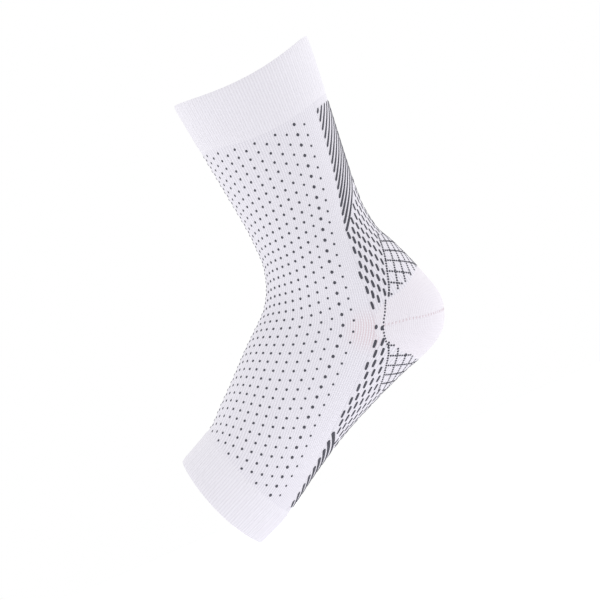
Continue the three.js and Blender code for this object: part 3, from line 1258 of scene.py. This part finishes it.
@dataclass
class KnitBody:
    """The six knitted zones of the sock, each bent to the form and standing for its CAD solid."""

    form: SockForm
    body_wall: float = 1.5
    cuff_wall: float = 2.2
    band_wall: float = 2.4
    cuff_ribs: int = 74
    band_ribs: int = 78
    rib_height: float = 0.24

    def zones(self) -> list[tuple[KnitZone, str, str]]:
        """The zones with the CAD node that each stands for and the name of its finish.

        Returns:
            The zones, from the cuff to the toe band.
        """
        form = self.form
        quarter = math.pi / 2

        def cuff(across: np.ndarray, down: np.ndarray) -> tuple[np.ndarray, np.ndarray]:
            """The place on the cuff at shares across and down."""
            angle = (2 * across - 1) * math.pi
            return mix(form.cuff_rim_row(angle), form.cuff_edge_row(angle), down), angle

        def band(across: np.ndarray, down: np.ndarray) -> tuple[np.ndarray, np.ndarray]:
            """The place on the toe band at shares across and down."""
            angle = (2 * across - 1) * math.pi
            return mix(form.toe_edge_row(angle), form.toe_rim_row(angle), down), angle

        def instep(across: np.ndarray, down: np.ndarray) -> tuple[np.ndarray, np.ndarray]:
            """The place on the dotted front at shares across and down."""
            angle = (2 * across - 1) * form.body_edge(down)
            return form.body_row(down, angle), angle

        def achilles(across: np.ndarray, down: np.ndarray) -> tuple[np.ndarray, np.ndarray]:
            """The place on the panel behind the leg at shares across and down."""
            turn = (2 * across - 1) * quarter
            return form.back_place(turn, down * form.heel_down(form.heel_top_row, turn))

        def heel(across: np.ndarray, down: np.ndarray) -> tuple[np.ndarray, np.ndarray]:
            """The place on the heel cup at shares across and down."""
            turn = (2 * across - 1) * quarter
            top, sole = form.heel_down(form.heel_top_row, turn), form.heel_down(form.heel_sole_row, turn)
            return form.back_place(turn, mix(top, sole, down))

        def sole(across: np.ndarray, down: np.ndarray) -> tuple[np.ndarray, np.ndarray]:
            """The place on the panel under the foot at shares across and down."""
            turn = (2 * across - 1) * quarter
            return form.back_place(turn, mix(form.heel_down(form.heel_sole_row, turn), 1.0, down))

        cuff_steps, band_steps = self.cuff_ribs * 8, self.band_ribs * 8
        return [
            (KnitZone("ribbed_cuff", form, cuff, cuff_steps, 24, self.cuff_wall, "rib_knit", 0.2,
                      self.cuff_ribs, self.rib_height, 0.5), "top_cuff", "rib"),
            (KnitZone("dotted_front", form, instep, 150, 200, self.body_wall, "dotted_knit"),
             "instep_panel", "jersey"),
            (KnitZone("achilles_cloth", form, achilles, 90, 120, self.body_wall, "barred_knit"),
             "achilles_panel", "jersey"),
            (KnitZone("heel_cloth", form, heel, 90, 60, self.body_wall, "plain_knit"), "heel_cup", "heel"),
            (KnitZone("sole_cloth", form, sole, 90, 90, self.body_wall, "barred_knit"),
             "sole_panel", "jersey"),
            (KnitZone("ribbed_toe_band", form, band, band_steps, 20, self.band_wall, "rib_knit", 0.55,
                      self.band_ribs, self.rib_height, 0.5, True), "toe_band", "rib"),
        ]

    def build(self, finishes: dict[str, bpy.types.Material]) -> None:
        """Builds every zone and lets it stand for its CAD solid.

        Args:
            finishes: the knit materials by name.
        """
        for zone, node, finish in self.zones():
            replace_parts(zone.build(finishes[finish]), node)


@dataclass
class Studio:
    """A pale lit table, soft light from both sides and the camera of the photograph, in metres."""

    floor_z: float = -0.13
    floor_size: float = 0.6
    camera_at: tuple[float, float, float] = (-0.0239, -1.5, 0.0256)
    roll_degrees: float = 24.0
    lens_mm: float = 145.16
    front_light: float = 0.86

    def build(self) -> None:
        """Sets the floor, the lights, the world and the camera."""
        self._floor()
        self._world()
        for name, place, power, size in (
            ("key", (-0.9, -0.45, 0.75), 1.0, 0.8),
            ("rim", (0.95, 0.15, 0.35), 1.6, 0.7),
            ("fill", (-0.8, 0.35, -0.02), 0.5, 0.6),
        ):
            self._light(name, place, power, size)
        self._camera()
        bpy.context.scene.view_settings.view_transform = "Standard"

    def _floor(self) -> None:
        """Lays a white table lit from inside, which stays out of the picture's white."""
        bm = bmesh.new()
        bmesh.ops.create_grid(bm, x_segments=1, y_segments=1, size=self.floor_size)
        bmesh.ops.translate(bm, verts=bm.verts, vec=(0, 0, self.floor_z))
        floor = object_from(bm, "floor")
        graph = MaterialGraph("white_acrylic")
        shader = graph.add("ShaderNodeBsdfPrincipled", inputs={
            "Base Color": linear_colour("fafafc"), "Roughness": 0.7,
            "Emission Color": linear_colour("ffffff"), "Emission Strength": 0.2,
        })
        graph.tree.links.new(shader.outputs[0], graph.output.inputs[0])
        floor.data.materials.append(graph.material)

    def _world(self) -> None:
        """Surrounds the sock with white light, which is weaker from the side of the camera."""
        world = bpy.data.worlds.new("white_studio")
        world.use_nodes = True
        nodes, links = world.node_tree.nodes, world.node_tree.links
        coordinates = nodes.new("ShaderNodeTexCoord")
        split = nodes.new("ShaderNodeSeparateXYZ")
        ramp = nodes.new("ShaderNodeMapRange")
        ramp.inputs["From Min"].default_value = -0.9
        ramp.inputs["From Max"].default_value = 0.3
        ramp.inputs["To Min"].default_value = self.front_light
        ramp.inputs["To Max"].default_value = 1.0
        background = nodes["Background"]
        links.new(coordinates.outputs["Generated"], split.inputs[0])
        links.new(split.outputs[1], ramp.inputs["Value"])
        links.new(ramp.outputs[0], background.inputs["Strength"])
        background.inputs["Color"].default_value = (1.0, 1.0, 1.0, 1.0)
        bpy.context.scene.world = world

    def _light(self, name: str, place: tuple[float, float, float], power: float, size: float) -> None:
        """Adds a soft light that faces the sock.

        Args:
            name: the light's name.
            place: where it stands.
            power: its power in watts.
            size: the length of its side.
        """
        light = bpy.data.lights.new(name, "AREA")
        light.energy = power
        light.size = size
        made = bpy.data.objects.new(name, light)
        made.location = place
        made.rotation_euler = Vector(place).to_track_quat("Z", "Y").to_euler()
        bpy.context.scene.collection.objects.link(made)

    def _camera(self) -> None:
        """Sets the camera level with the sock and rolled, as in the photograph."""
        data = bpy.data.cameras.new("camera")
        data.lens = self.lens_mm
        data.sensor_width = 36.0
        data.dof.use_dof = False
        roll = math.radians(self.roll_degrees)
        camera = bpy.data.objects.new("camera", data)
        right = (math.cos(roll), 0.0, -math.sin(roll))
        upward = (math.sin(roll), 0.0, math.cos(roll))
        toward = (0.0, -1.0, 0.0)
        turned = Matrix((right, upward, toward)).transposed()
        camera.matrix_world = Matrix.Translation(self.camera_at) @ turned.to_4x4()
        bpy.context.scene.collection.objects.link(camera)
        bpy.context.scene.camera = camera


@dataclass
class CompressionSock:
    """The whole sock: its knitted zones and the dark yarn on them."""

    form: SockForm = field(default_factory=SockForm)

    def build(self) -> None:
        """Builds and dresses every piece."""
        jersey = KnitFinish("white_jersey_knit", stretch_shade_at_mm=(5.3, -7.8)).build()
        rib = KnitFinish("white_rib_knit", groove_shade_hex="dedbe3", wale_mm=1.85, course_mm=1.0).build()
        heel = KnitFinish(
            "white_heel_knit", groove_shade_hex="dcd7df", wale_mm=1.3, course_mm=1.1, warmth=0.18,
        ).build()
        dark = DarkYarnFinish().build()
        thread = DarkYarnFinish("pale_gore_thread", "d3c1c7", "e2d5da").build()
        KnitBody(self.form).build({"jersey": jersey, "rib": rib, "heel": heel})
        DotPanel(self.form).build(dark)
        self.achilles_pattern().build(dark)
        self.sole_pattern().build(dark)
        GoreSeam(self.form).build(thread, dark)

    def achilles_pattern(self) -> BackPattern:
        """The pattern behind the leg.

        Returns:
            The pattern.
        """
        return BackPattern(
            "achilles", self.form,
            edge_rows=(1.29, 2.21, 2.72, 3.61, 4.46, 5.65, 6.58, 7.41, 8.32, 9.4, 10.19),
            drift=(-16.7, -8.2, -6.0, -2.5, 0.0, 3.35, 6.8, 10.4, 13.9, 17.6, 20.1),
            bar_rows=(1.15, 4.9), dash_rows=(2.4, 10.1), bar_heading=-1.0,
        )

    def sole_pattern(self) -> BackPattern:
        """The pattern under the foot.

        Returns:
            The pattern.
        """
        return BackPattern(
            "sole", self.form,
            edge_rows=(10.4, 11.06, 11.89, 12.54, 13.05, 13.48, 13.83, 14.01),
            drift=(20.0, 18.2, 13.9, 9.4, 4.8, -0.1, -4.1, -6.6),
            bar_rows=(14.05, 15.9), dash_rows=(10.5, 15.0), bar_heading=1.0,
            bar_pitch=5.9, bar_climb=(25.0, 34.0), bar_width=1.5, bar_end_width=1.1,
            column_pitch=4.8, dash_pitch=6.2, dash_half_length=2.9, dash_half_width=1.0,
            dash_lean=0.33, net_start=28.0, net_rows=(10.4, 12.7), net_wale=6.4, net_course=6.8,
            anchor_row=12.5,
        )


def main() -> None:
    """Builds the sock and the studio round it."""
    logging.basicConfig(level=logging.INFO)
    CompressionSock().build()
    Studio().build()


if __name__ == "__main__":
    main()
